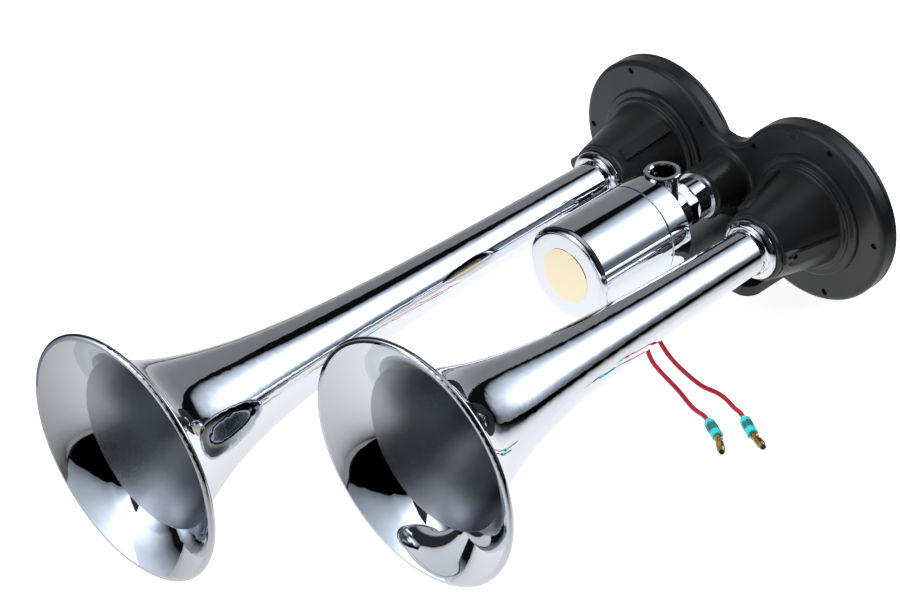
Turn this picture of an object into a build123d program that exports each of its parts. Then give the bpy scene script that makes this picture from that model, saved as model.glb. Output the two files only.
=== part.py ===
from build123d import *
from math import cos, exp, pi, radians, sin, tan
import os

# Twin-trumpet air horn for a truck, in millimetres.
# Both trumpets blow along -Y. +Z is up and +X is the side of the short trumpet.
# The origin is the middle of the two foot bolts, on the underside of the foot.

# ---- Layout of the housing ----
AXIS_HEIGHT = 26.0          # trumpet axes above the underside of the foot
FACE_Y = 26.0               # front face of the flanges behind the bolt line
TRUMPET_SPACING = 93.9      # between the two trumpet axes
FLANGE_R = 44.2
FLANGE_T = 8.0
FLANGE_ROUND = 2.6          # round of the flange's front edge
JOINT_CHAMFER = 0.45        # on both sides of the joint between flange and cover
WAIST_HALF_HEIGHT = 20.8    # lowest height of the web that joins the flanges
STEP_R = 30.2               # broad raised ring round each socket
STEP_H = 1.8
STEP_2_R = 26.4             # second ring, at the foot of the socket
STEP_2_H = 3.4
SOCKET_BASE_R = 24.0
SOCKET_TAPER_R = 16.7       # thin end of the taper, behind the lip ring
SOCKET_LIP_R = 16.2         # lip ring round the trumpet's collar
SOCKET_LIP_LENGTH = 2.6
SOCKET_LIP_ROUND = 0.9
SOCKET_REACH = 37.8         # face of the lip ahead of the flange face
SOCKET_ROOT = 0.5           # metal between the chamber floor and the root of a socket
RIB_WIDTH = 6.4
RIB_HEIGHT = 1.5
RIB_ROUND = 1.2
RIB_START = 5.6             # front end of a rib behind the lip's face
RIB_END_GAP = 1.5           # rear end of a rib ahead of the rings
RIB_ROOT = 3.0              # how far a rib reaches into the socket's wall
RIB_ANGLES = (-5.0, 125.0, -115.0)  # round the right socket, mirrored on the left one

# ---- Inside of the housing ----
CHAMBER_FLOOR = 2.6         # metal left between the chamber and the flange face
NOZZLE_WALL = 3.2           # wall of the tube that the diaphragm closes
THROAT_R = 5.6
THROAT_TAPER_LENGTH = 8.0   # cone between the spigot's bore and the throat
PASSAGE_HEIGHT = 8.0        # cross passage from the inlet to both chambers
AIR_BORE_R = 4.2
AIR_BORE_CONE = 2.0         # drill point between the thread and the bore
CUT_OVER = 1.0              # how far a cutting shape passes an open face

# ---- Diaphragms and back covers ----
DIAPHRAGM_T = 0.5
GASKET_T = 1.0
GASKET_MARGIN = 0.2         # metal showing between the chamber and the gasket
SEAT_WIDTH = 4.9            # ledge that carries gasket and diaphragm
COVER_T = 2.4
CROWN_H = 3.0
CROWN_WALL = 2.2
CROWN_EDGE = 1.2
CROWN_ROOM_SLOPE = 2.0      # the room behind a diaphragm narrows by this to the back
CROWN_LAND = 6.9            # flat of the cover between the crown and the screw heads

# ---- Cover screws ----
SCREW_COUNT = 5
SCREW_EDGE = 4.9            # screw circle inside the flange's edge
SCREW_LAND = 1.4            # wall between the screws and the seat recess
SCREW_START = -2.0          # degrees above +X on the right cover
SCREW_R = 1.5
SCREW_HEAD_R = 2.9
SCREW_HEAD_H = 1.9
SCREW_CLEARANCE = 0.1
SCREW_TIP_DEPTH = 1.2       # how far the tips stay behind the flange face

# ---- Mounting foot ----
FOOT_WIDTH = 94.8
FOOT_REACH = 40.5           # front edge of the foot ahead of the flange face
FOOT_T = 5.0
FOOT_CORNER_R = 7.0
FOOT_BOLT_SPACING = 38.0
FOOT_BOLT_R = 3.3

# ---- Trumpets ----
LONG_REACH = 327.5          # mouth planes ahead of the flange face
SHORT_REACH = 250.6
MOUTH_R = 57.5
TRUMPET_WALL = 1.1
RIM_BEAD_R = 1.3
TUBE_R = 10.4               # outside of the tube beside its collar
LONG_TAPER = 0.0115         # growth of the outer radius along the tube
SHORT_TAPER = 0.0125
LONG_FLARE = 49.0           # length over which the flare falls to a third
SHORT_FLARE = 44.0
LIP_FLARE = 7.0             # the same for the sharper lip at the mouth
LIP_FLARE_SHARE = 0.19
COLLAR_R = 14.6
COLLAR_LENGTH = 3.9         # from the front of the collar to the socket's lip
COLLAR_ROUND = 3.2
COLLAR_SEAT_DEPTH = 1.0     # how far the collar sits inside the lip ring
COLLAR_GAP = 0.25           # open gap between the collar and the ring
SPIGOT_R = 10.2
SPIGOT_LENGTH = 20.0
SPIGOT_CLEARANCE = 0.05
SPIGOT_BORE_R = 6.8
HORN_STATIONS = (0.0, 0.01, 0.028, 0.056, 0.105, 0.175, 0.28, 0.42, 0.62, 0.8, 1.0)

# ---- Collar screws: one headless screw in a lug beside each socket holds the spigot ----
LEFT_LUG_REACH = 21.5       # outside of the lug beside the trumpet axis
RIGHT_LUG_REACH = 19.2
LUG_R = 3.4
LUG_LENGTH = 12.0
LUG_SETBACK = 2.7           # front of the lug behind the lip's face
COLLAR_SCREW_R = 1.3
COLLAR_SCREW_SETBACK = 4.5  # screw axis behind the front of the lug
COLLAR_SCREW_SINK = 0.8     # screw end below the outside of the lug
COLLAR_SCREW_KEY = 0.75     # half the width of its hexagon socket
COLLAR_SCREW_KEY_DEPTH = 1.2

# ---- Valve line: boss, nipple and solenoid share one axis ----
VALVE_AXIS_RISE = 2.0       # above the trumpet axes
BOSS_R = 12.8
BOSS_REACH = 20.5
BOSS_ROUND = 3.0
WASHER_R = 11.4
WASHER_T = 1.8
NIPPLE_COLLAR_R = 10.2
NIPPLE_COLLAR_LENGTH = 8.7
HEX_FLATS = 19.0
HEX_LENGTH = 6.6
HEX_BEVEL = 0.8
NIPPLE_THREAD_R = 6.5
NIPPLE_THREAD_LENGTH = 9.0
THREAD_RUNOUT = 1.0         # threaded hole deeper than the thread in it
BLOCK_THREAD_R = 4.9        # smaller thread in the valve body
BLOCK_THREAD_LENGTH = 5.0
NIPPLE_BORE_R = 3.4
REAR_BLOCK_R = 11.6
REAR_BLOCK_LENGTH = 13.5
VALVE_DISC_LENGTH = 13.0
VALVE_EDGE_ROUND = 1.2
CAN_R = 23.2
CAN_LENGTH = 45.7
CAN_WALL = 1.2
CAN_EDGE_ROUND = 3.2
SEAM_GAP = 0.4              # fine groove between the can and the valve body
CAN_SPIGOT_LENGTH = 6.0
CAN_SPIGOT_CLEARANCE = 0.05
SEAL_WIRE_R = 0.9
SEAL_CLEARANCE = 0.02
SEAL_FROM_SEAM = 3.0

# ---- Air inlet on top of the valve body ----
INLET_SETBACK = 6.2         # inlet axis behind the valve disc
INLET_RISE = 24.3           # top face of the inlet above the valve axis
INLET_FLANGE_R = 8.6
INLET_FLANGE_T = 1.6
INLET_FLANGE_EDGE = 0.4
INLET_NECK_R = 7.1
INLET_BORE_R = 5.72         # core of a G1/4 thread
INLET_BORE_DEPTH = 18.2
INLET_FLOOR_R = 4.7         # drilled hole below the thread
INLET_CHAMFER = 0.7
INLET_NECK_DEPTH = 16.6     # from the top face to the shoulder in the block
INLET_PASSAGE_R = 2.2
INLET_PASSAGE_RISE = 7.6

# ---- Valve seat, plunger and coil ----
SEAT_R = 5.0
SEAT_BORE_R = 3.0
SEAT_LIP_R = 3.9
SEAT_LIP_H = 1.0
SEAT_LENGTH = 7.5
CHAMBER_DEPTH = 7.0         # valve chamber, from the seam into the valve disc
VALVE_CHAMBER_R = 7.4
SEAT_PROUD = 3.2            # seat lip above the bottom of the valve chamber
SEAT_GAP = 0.1
SEAL_R = 4.4
SEAL_T = 2.4
SEAL_PROUD = 0.5            # seal ahead of the plunger's steel face
PLUNGER_R = 5.92
PLUNGER_LENGTH = 23.0
PLUNGER_TRAVEL = 1.5
PLUNGER_END_GAP = 0.3
GUIDE_BORE_R = 6.0
GUIDE_WALL = 0.6
GUIDE_FLANGE_R = 8.3
GUIDE_FLANGE_T = 1.4
SPRING_R = 2.5
SPRING_WIRE_R = 0.4
SPRING_TURNS = 6
SPRING_POCKET_DEPTH = 9.0
SPRING_CLEARANCE = 0.3
BOBBIN_R = 20.4
BOBBIN_WALL = 1.3
BOBBIN_FLANGE_T = 1.6
COIL_R = 18.8
BOBBIN_CLEARANCE = 0.1

# ---- Label on the front of the can ----
LABEL_R = 13.2
LABEL_T = 0.25

# ---- Leads ----
GROMMET_ANGLE = -60.0       # round the can, from +X
GROMMET_SETBACK = 11.5      # ahead of the seam
GROMMET_R = 4.0
GROMMET_HEAD_R = 5.0
GROMMET_HEAD_T = 2.0
GROMMET_HEAD_BEVEL = 0.8
GROMMET_HEAD_GAP = 0.05     # below the head, clear of the curve of the can
GROMMET_BACK_R = 4.6
GROMMET_BACK_T = 1.0
GROMMET_GRIP = 0.6          # room for the curve of the can inside
LEAD_R = 1.1
LEAD_PITCH = 2.6            # between the two leads in the grommet
LEAD_DROP = 6.8             # straight run out of the grommet
LEAD_TAIL = 4.6             # straight run into the sleeve
LEAD_ARC_SHARE = 0.45       # share of the shorter run that an arc takes
SLEEVE_R = 2.65
SLEEVE_NECK_R = 2.0
SLEEVE_NECK_LENGTH = 1.5
SLEEVE_EDGE = 0.4
BULLET_R = 1.95
BULLET_NECK_R = 1.45
BULLET_BARREL_R = 1.5
BULLET_BARREL_LENGTH = 7.0
BULLET_GAP = 0.5            # between the sleeve's mouth and the pin
BULLET_CLEARANCE = 0.05
BULLET_LAP = 0.6            # the barrel runs this far into the pin
# Pin outline ahead of the gap: distance and radius, up to the straight part.
BULLET_OUTLINE = (
    (0.0, BULLET_BARREL_R), (0.5, BULLET_R), (1.7, BULLET_R), (2.6, BULLET_NECK_R),
    (3.3, BULLET_NECK_R), (4.5, BULLET_R),
)
BULLET_TIP_LENGTH = 2.2     # taper at the end of the pin
BULLET_TIP_R = 1.2

# Bends of each lead between its straight ends, and the ends of its sleeve and bullet.
FRONT_LEAD = [
    (17.2, -51.6, -7.5), (19.8, -54.4, -16.25), (25.0, -57.0, -20.85), (32.8, -59.8, -21.75),
    (40.3, -62.3, -21.95), (48.2, -64.9, -22.05), (55.2, -67.8, -22.2), (61.4, -70.4, -22.35),
    (66.9, -72.0, -22.05),
]
FRONT_SLEEVE = ((76.1, -75.4, -21.05), (86.4, -80.8, -21.35))
FRONT_BULLET_END = (95.0, -88.0, -21.75)
REAR_LEAD = [
    (17.1, -47.7, -7.5), (19.7, -46.9, -15.05), (25.0, -47.9, -19.75), (32.6, -50.5, -21.25),
    (40.2, -53.0, -21.4), (48.2, -55.1, -21.5), (56.5, -56.8, -21.6), (64.0, -55.8, -21.55),
    (70.6, -57.0, -21.6), (77.4, -59.8, -21.65),
]
REAR_SLEEVE = ((87.2, -64.2, -20.55), (97.4, -70.2, -20.85))
REAR_BULLET_END = (106.9, -74.2, -21.05)

# ---- Places that follow from the dimensions above ----
LEFT_X = -TRUMPET_SPACING / 2
RIGHT_X = TRUMPET_SPACING / 2
SCREW_CIRCLE_R = FLANGE_R - SCREW_EDGE
SEAT_RECESS_R = SCREW_CIRCLE_R - SCREW_R - SCREW_LAND   # holds gasket and diaphragm
CHAMBER_R = SEAT_RECESS_R - SEAT_WIDTH      # annular air chamber before the diaphragm
CROWN_R = SCREW_CIRCLE_R - SCREW_HEAD_R - CROWN_LAND
PARTING_Y = FACE_Y + FLANGE_T               # housing to back covers
RECESS_Y = PARTING_Y - DIAPHRAGM_T - GASKET_T
DIAPHRAGM_Y = PARTING_Y - DIAPHRAGM_T       # front of the diaphragms
CHAMBER_Y = FACE_Y + CHAMBER_FLOOR          # floor of the air chamber
LIP_Y = FACE_Y - SOCKET_REACH
SPIGOT_END_Y = LIP_Y + SPIGOT_LENGTH
SOCKET_ROOT_Y = CHAMBER_Y - SOCKET_ROOT
LUG_Y = LIP_Y + LUG_SETBACK
VALVE_Z = AXIS_HEIGHT + VALVE_AXIS_RISE
BOSS_Y = FACE_Y - BOSS_REACH
COLLAR_END_Y = BOSS_Y - WASHER_T            # rear end of the nipple's round collar
HEX_BACK_Y = COLLAR_END_Y - NIPPLE_COLLAR_LENGTH
HEX_FRONT_Y = HEX_BACK_Y - HEX_LENGTH
DISC_BACK_Y = HEX_FRONT_Y - REAR_BLOCK_LENGTH
SEAM_Y = DISC_BACK_Y - VALVE_DISC_LENGTH
CAN_FRONT_Y = SEAM_Y - CAN_LENGTH
INLET_Y = DISC_BACK_Y + INLET_SETBACK
INLET_TOP_Z = VALVE_Z + INLET_RISE
CHAMBER_END_Y = SEAM_Y + CHAMBER_DEPTH      # bottom of the valve chamber
SEAT_Y = CHAMBER_END_Y - SEAT_PROUD         # lip of the seat, facing the plunger
PLUNGER_BACK_Y = SEAT_Y - SEAT_GAP - SEAL_PROUD
PLUNGER_FRONT_Y = PLUNGER_BACK_Y - PLUNGER_LENGTH
CORE_BACK_Y = PLUNGER_FRONT_Y - PLUNGER_TRAVEL - PLUNGER_END_GAP
CORE_FRONT_Y = CAN_FRONT_Y + CAN_WALL
GUIDE_FLANGE_Y = SEAM_Y + 0.6               # shoulder that the guide's flange sits on
GROMMET_Y = SEAM_Y - GROMMET_SETBACK


def turned(*corners):
    """Solid of revolution about the Y axis, from (radius, y) corners."""
    return revolve(make_face(Polyline(*corners, close=True)), Axis.Y)


def rod(radius, y_front, y_back):
    """Cylinder along Y between two planes."""
    return turned((0, y_front), (radius, y_front), (radius, y_back), (0, y_back))


def tube(radius, bore, y_front, y_back):
    """Pipe along Y between two planes."""
    return turned((bore, y_front), (radius, y_front), (radius, y_back), (bore, y_back))


def on_trumpet_axis(shape, x):
    """Moves a shape made on the Y axis to a trumpet axis."""
    return Pos(x, 0, AXIS_HEIGHT) * shape


def on_valve_axis(shape):
    """Moves a shape made on the Y axis to the valve axis."""
    return Pos(0, 0, VALVE_Z) * shape


def round_y(shape, angle):
    """Turns a shape about the Y axis, counted from +X towards +Z."""
    return Rot(0, -angle, 0) * shape


# ---------------------------------------------------------------- trumpets

def horn_radius(depth, length, taper, flare):
    """Outer radius of a trumpet at a depth behind its mouth."""
    tube_part = TUBE_R + taper * (length - depth)
    mouth_growth = MOUTH_R - RIM_BEAD_R - (TUBE_R + taper * length)
    main = mouth_growth * (1 - LIP_FLARE_SHARE) * exp(-depth / flare)
    lip = mouth_growth * LIP_FLARE_SHARE * exp(-depth / LIP_FLARE)
    return tube_part + main + lip


def horn_outline(reach, taper, flare, inset):
    """Points of one wall face from the mouth to the collar, as (radius, y)."""
    mouth_y = FACE_Y - reach
    length = LIP_Y - COLLAR_LENGTH - mouth_y
    depths = [length * share for share in HORN_STATIONS]
    return [(horn_radius(d, length, taper, flare) - inset, mouth_y + d) for d in depths]


def trumpet(x, reach, taper, flare):
    """Spun trumpet with a rolled rim, a collar bead and a spigot for its socket."""
    outer = horn_outline(reach, taper, flare, 0)
    inner = horn_outline(reach, taper, flare, TRUMPET_WALL)
    mouth_y = outer[0][1]
    collar_y = outer[-1][1]
    seat_y = LIP_Y + COLLAR_SEAT_DEPTH
    shoulder = FilletPolyline(
        (outer[-1][0], collar_y), (COLLAR_R, collar_y), (COLLAR_R, seat_y), (SPIGOT_R, seat_y),
        radius=[COLLAR_ROUND, 0.2],
    )
    wall = make_face([
        Spline(*outer),
        shoulder,
        Polyline((SPIGOT_R, seat_y), (SPIGOT_R, SPIGOT_END_Y), (SPIGOT_BORE_R, SPIGOT_END_Y),
                 (SPIGOT_BORE_R, LIP_Y), inner[-1]),
        Spline(*reversed(inner)),
        Line(inner[0], outer[0]),
    ])
    rim = Pos(outer[0][0], mouth_y + RIM_BEAD_R) * Circle(RIM_BEAD_R)
    return on_trumpet_axis(revolve(wall + rim, Axis.Y), x)


# ---------------------------------------------------------------- housing

def waist_plate():
    """Two round flanges joined by a waist with hollow sides, on the flange face."""
    half = TRUMPET_SPACING / 2
    gap = FLANGE_R - WAIST_HALF_HEIGHT
    hollow_r = (half**2 + WAIST_HALF_HEIGHT**2 - FLANGE_R**2) / (2 * gap)
    hollow_z = WAIST_HALF_HEIGHT + hollow_r
    share = FLANGE_R / (FLANGE_R + hollow_r)
    outline = Rectangle(2 * half * (1 - share), 2 * hollow_z * share)
    outline -= Pos(0, hollow_z) * Circle(hollow_r) + Pos(0, -hollow_z) * Circle(hollow_r)
    for x in (LEFT_X, RIGHT_X):
        outline += Pos(x, 0) * Circle(FLANGE_R)
    # the work plane looks along -Y, so its X is the part's X and its Y is Z
    face = Plane((0, FACE_Y, AXIS_HEIGHT), x_dir=(1, 0, 0), z_dir=(0, -1, 0)) * outline
    plate = extrude(face, -FLANGE_T)
    plate = fillet(plate.faces().sort_by(Axis.Y)[0].outer_wire().edges(), FLANGE_ROUND)
    return chamfer(plate.faces().sort_by(Axis.Y)[-1].outer_wire().edges(), JOINT_CHAMFER)


def socket_body():
    """Stepped rings and the tapered socket that holds a trumpet's spigot."""
    step_y = FACE_Y - STEP_H
    base_y = FACE_Y - STEP_2_H
    taper_y = LIP_Y + SOCKET_LIP_LENGTH
    skin = FilletPolyline(
        (STEP_R, SOCKET_ROOT_Y), (STEP_R, step_y), (STEP_2_R, step_y), (STEP_2_R, base_y),
        (SOCKET_BASE_R, base_y), (SOCKET_TAPER_R, taper_y), (SOCKET_LIP_R, taper_y),
        (SOCKET_LIP_R, LIP_Y), (SPIGOT_R, LIP_Y),
        radius=[STEP_H * 0.6, 0.5, 0.9, 1.2, 0.2, 0.1, SOCKET_LIP_ROUND],
    )
    close = Polyline((SPIGOT_R, LIP_Y), (0, LIP_Y), (0, SOCKET_ROOT_Y), (STEP_R, SOCKET_ROOT_Y))
    return revolve(make_face([skin, close]), Axis.Y)


def taper_r(y):
    """Radius of a socket's taper at a place along its axis."""
    start_y = LIP_Y + SOCKET_LIP_LENGTH
    slope = (SOCKET_BASE_R - SOCKET_TAPER_R) / (FACE_Y - STEP_2_H - start_y)
    return SOCKET_TAPER_R + slope * (y - start_y)


def socket_rib(angle):
    """Low rounded rib along the taper of a socket."""
    start_y = LIP_Y + RIB_START
    end_y = FACE_Y - STEP_2_H - RIB_END_GAP
    low, high = taper_r(start_y), taper_r(end_y)
    side = Polyline(
        (low - RIB_ROOT, start_y), (low + RIB_HEIGHT, start_y), (high + RIB_HEIGHT, end_y),
        (high - RIB_ROOT, end_y), close=True,
    )
    rib = extrude(make_face(side), RIB_WIDTH / 2, both=True)
    rib = fillet(rib.faces().sort_by(Axis.X)[-1].edges(), RIB_ROUND)
    return round_y(rib, angle)


def lug_reach(x):
    """Outside of a socket's lug beside the trumpet axis."""
    return RIGHT_LUG_REACH if x > 0 else LEFT_LUG_REACH


def outward(shape, x):
    """Turns a shape on the +X side of a socket to the side away from the valve."""
    return shape if x > 0 else round_y(shape, 180)


def socket_lug(x):
    """Round lug on the outer side of a socket, for its collar screw."""
    end_y = LUG_Y + LUG_LENGTH
    lug = turned((0, LUG_Y), (LUG_R, LUG_Y), (LUG_R, end_y - LUG_R), (0, end_y))
    return outward(Pos(lug_reach(x) - LUG_R, 0, 0) * lug, x)


def collar_screw_rod(x, start, end):
    """Cylinder on the axis of a collar screw, between two distances from the trumpet axis."""
    length = end - start
    upright = Cylinder(COLLAR_SCREW_R, length)
    place = Pos((start + end) / 2, LUG_Y + COLLAR_SCREW_SETBACK, 0) * Rot(0, 90, 0)
    return outward(place * upright, x)


def boss():
    """Round boss that takes the nipple of the solenoid valve."""
    skin = FilletPolyline(
        (0, BOSS_Y), (BOSS_R, BOSS_Y), (BOSS_R, FACE_Y), (BOSS_R + BOSS_ROUND, FACE_Y),
        radius=[1.0, BOSS_ROUND * 0.9],
    )
    close = Polyline((BOSS_R + BOSS_ROUND, FACE_Y), (BOSS_R + BOSS_ROUND, SOCKET_ROOT_Y),
                     (0, SOCKET_ROOT_Y), (0, BOSS_Y))
    return on_valve_axis(revolve(make_face([skin, close]), Axis.Y))


def foot():
    """Flat mounting foot under the sockets, with two bolt holes."""
    depth = FOOT_REACH + CHAMBER_FLOOR
    blank = RectangleRounded(FOOT_WIDTH, depth + FOOT_CORNER_R, FOOT_CORNER_R)
    blank = Pos(0, (depth + FOOT_CORNER_R) / 2) * blank
    blank &= Pos(0, depth / 2) * Rectangle(FOOT_WIDTH, depth)
    for side in (-1, 1):
        blank -= Pos(side * FOOT_BOLT_SPACING / 2, FOOT_REACH - FACE_Y) * Circle(FOOT_BOLT_R)
    return Pos(0, FACE_Y - FOOT_REACH, 0) * extrude(blank, FOOT_T)


def socket_bores():
    """What is cut for one trumpet: spigot bore, throat, chamber and seat recess."""
    seat_y = LIP_Y + COLLAR_SEAT_DEPTH
    bore_r = SPIGOT_R + SPIGOT_CLEARANCE
    seat_r = COLLAR_R + COLLAR_GAP
    front_y = LIP_Y - CUT_OVER
    back_y = PARTING_Y + CUT_OVER
    throat = turned(
        (0, front_y), (seat_r, front_y), (seat_r, seat_y), (bore_r, seat_y),
        (bore_r, SPIGOT_END_Y), (SPIGOT_BORE_R, SPIGOT_END_Y),
        (THROAT_R, SPIGOT_END_Y + THROAT_TAPER_LENGTH), (THROAT_R, back_y), (0, back_y),
    )
    nozzle_r = THROAT_R + NOZZLE_WALL
    chamber = turned(
        (nozzle_r, CHAMBER_Y), (CHAMBER_R, CHAMBER_Y), (CHAMBER_R, RECESS_Y),
        (SEAT_RECESS_R, RECESS_Y), (SEAT_RECESS_R, back_y), (0, back_y),
        (0, DIAPHRAGM_Y), (nozzle_r, DIAPHRAGM_Y),
    )
    return throat + chamber


def screw_angles(x):
    """Angles of the cover screws, mirrored on the left side."""
    step = 360 / SCREW_COUNT
    angles = [SCREW_START + step * i for i in range(SCREW_COUNT)]
    return angles if x > 0 else [180 - a for a in angles]


def screw_places(x):
    """Centres of the cover screws of one flange, as (x, z) from its axis."""
    return [
        (SCREW_CIRCLE_R * cos(radians(a)), SCREW_CIRCLE_R * sin(radians(a)))
        for a in screw_angles(x)
    ]


def air_way():
    """Bore from the boss and the cross passage to both chambers."""
    thread_end = BOSS_Y + NIPPLE_THREAD_LENGTH + THREAD_RUNOUT
    bore_end = CHAMBER_Y + CUT_OVER
    bore = turned(
        (0, BOSS_Y - CUT_OVER), (NIPPLE_THREAD_R, BOSS_Y - CUT_OVER),
        (NIPPLE_THREAD_R, thread_end), (AIR_BORE_R, thread_end + AIR_BORE_CONE),
        (AIR_BORE_R, bore_end), (0, bore_end),
    )
    length = TRUMPET_SPACING - 2 * (CHAMBER_R - CUT_OVER)
    height = RECESS_Y - CHAMBER_Y
    passage = Box(length, height, PASSAGE_HEIGHT)
    return on_valve_axis(bore + Pos(0, CHAMBER_Y + height / 2, 0) * passage)


def horn_housing():
    """Cast housing: flanges, sockets, boss and foot in one piece."""
    body = waist_plate() + boss() + foot()
    for x in (LEFT_X, RIGHT_X):
        socket = socket_body() + socket_lug(x)
        for angle in RIB_ANGLES:
            socket += socket_rib(angle if x > 0 else 180 - angle)
        body += on_trumpet_axis(socket, x)
    for x in (LEFT_X, RIGHT_X):
        cut = socket_bores()
        for px, pz in screw_places(x):
            hole = rod(SCREW_R + SCREW_CLEARANCE, FACE_Y - CUT_OVER, PARTING_Y + CUT_OVER)
            cut += Pos(px, 0, pz) * hole
        cut += collar_screw_rod(x, SPIGOT_R - CUT_OVER, lug_reach(x) + CUT_OVER)
        body -= on_trumpet_axis(cut, x)
    return body - air_way()


# ---------------------------------------------------------------- diaphragms and covers

def gasket(x):
    """Flat rubber ring under the edge of a diaphragm."""
    outer = SEAT_RECESS_R - SCREW_CLEARANCE
    return on_trumpet_axis(tube(outer, CHAMBER_R + GASKET_MARGIN, RECESS_Y, DIAPHRAGM_Y), x)


def diaphragm(x):
    """Thin spring-bronze disc that closes the nozzle."""
    return on_trumpet_axis(rod(SEAT_RECESS_R - SCREW_CLEARANCE, DIAPHRAGM_Y, PARTING_Y), x)


def back_cover(x):
    """Round back cover with a raised crown that leaves the diaphragm room."""
    edge_y = PARTING_Y + COVER_T
    crown_y = edge_y + CROWN_H
    room_r = CROWN_R - CROWN_WALL
    room_y = crown_y - CROWN_WALL
    rim_r = FLANGE_R - JOINT_CHAMFER
    skin = FilletPolyline(
        (FLANGE_R, PARTING_Y + JOINT_CHAMFER), (FLANGE_R, edge_y),
        (CROWN_R + CROWN_H * 0.5, edge_y), (CROWN_R - CROWN_H * 0.3, crown_y), (0, crown_y),
        radius=[0.7, 1.0, CROWN_EDGE],
    )
    close = Polyline((0, crown_y), (0, room_y), (room_r - CROWN_ROOM_SLOPE, room_y),
                     (room_r, PARTING_Y), (rim_r, PARTING_Y), (FLANGE_R, PARTING_Y + JOINT_CHAMFER))
    cover = revolve(make_face([skin, close]), Axis.Y)
    for px, pz in screw_places(x):
        hole = rod(SCREW_R + SCREW_CLEARANCE, PARTING_Y - CUT_OVER, edge_y + CUT_OVER)
        cover -= Pos(px, 0, pz) * hole
    return on_trumpet_axis(cover, x)


def cover_screw():
    """Pan-head screw from the back of a cover to just behind the flange face."""
    head_y = PARTING_Y + COVER_T
    tip_y = FACE_Y + SCREW_TIP_DEPTH
    head = FilletPolyline(
        (SCREW_HEAD_R, head_y), (SCREW_HEAD_R, head_y + SCREW_HEAD_H), (0, head_y + SCREW_HEAD_H),
        radius=[SCREW_HEAD_H * 0.6],
    )
    shank = Polyline((0, head_y + SCREW_HEAD_H), (0, tip_y), (SCREW_R * 0.5, tip_y),
                     (SCREW_R, tip_y + 1), (SCREW_R, head_y), (SCREW_HEAD_R, head_y))
    return revolve(make_face([head, shank]), Axis.Y)


def cover_screws(x):
    """The ring of screws of one cover, as separate solids."""
    screw = cover_screw()
    return [on_trumpet_axis(Pos(px, 0, pz) * screw, x) for px, pz in screw_places(x)]


def collar_screw(x):
    """Headless screw through a socket's lug, with a hexagon socket in its outer end."""
    end = lug_reach(x) - COLLAR_SCREW_SINK
    screw = collar_screw_rod(x, SPIGOT_R + SPIGOT_CLEARANCE, end)
    key = extrude(RegularPolygon(COLLAR_SCREW_KEY, 6, major_radius=False),
                  COLLAR_SCREW_KEY_DEPTH + CUT_OVER)
    place = Pos(end - COLLAR_SCREW_KEY_DEPTH, LUG_Y + COLLAR_SCREW_SETBACK, 0)
    return on_trumpet_axis(screw - outward(place * Rot(0, 90, 0) * key, x), x)


# ---------------------------------------------------------------- solenoid valve

def nipple_washer():
    """Sealing washer between the nipple and the boss."""
    return on_valve_axis(tube(WASHER_R, NIPPLE_THREAD_R, COLLAR_END_Y, BOSS_Y))


def outlet_nipple():
    """Hexagon nipple that carries the solenoid valve on the boss."""
    hexagon = RegularPolygon(HEX_FLATS / 2, 6, major_radius=False, rotation=30)
    plane = Plane((0, HEX_BACK_Y, 0), x_dir=(1, 0, 0), z_dir=(0, -1, 0))
    nut = extrude(plane * hexagon, HEX_LENGTH)
    bevel_r = HEX_FLATS / 2 / cos(pi / 6)
    land_r = bevel_r - HEX_BEVEL
    nut &= turned((0, HEX_FRONT_Y), (land_r, HEX_FRONT_Y), (bevel_r, HEX_FRONT_Y + HEX_BEVEL),
                  (bevel_r, HEX_BACK_Y - HEX_BEVEL), (land_r, HEX_BACK_Y), (0, HEX_BACK_Y))
    nut += rod(NIPPLE_COLLAR_R, HEX_BACK_Y, COLLAR_END_Y)
    nut += rod(BLOCK_THREAD_R, HEX_FRONT_Y - BLOCK_THREAD_LENGTH, HEX_FRONT_Y)
    nut += rod(NIPPLE_THREAD_R, COLLAR_END_Y, BOSS_Y + NIPPLE_THREAD_LENGTH)
    return on_valve_axis(nut - rod(NIPPLE_BORE_R, SEAM_Y, FACE_Y))


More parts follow.
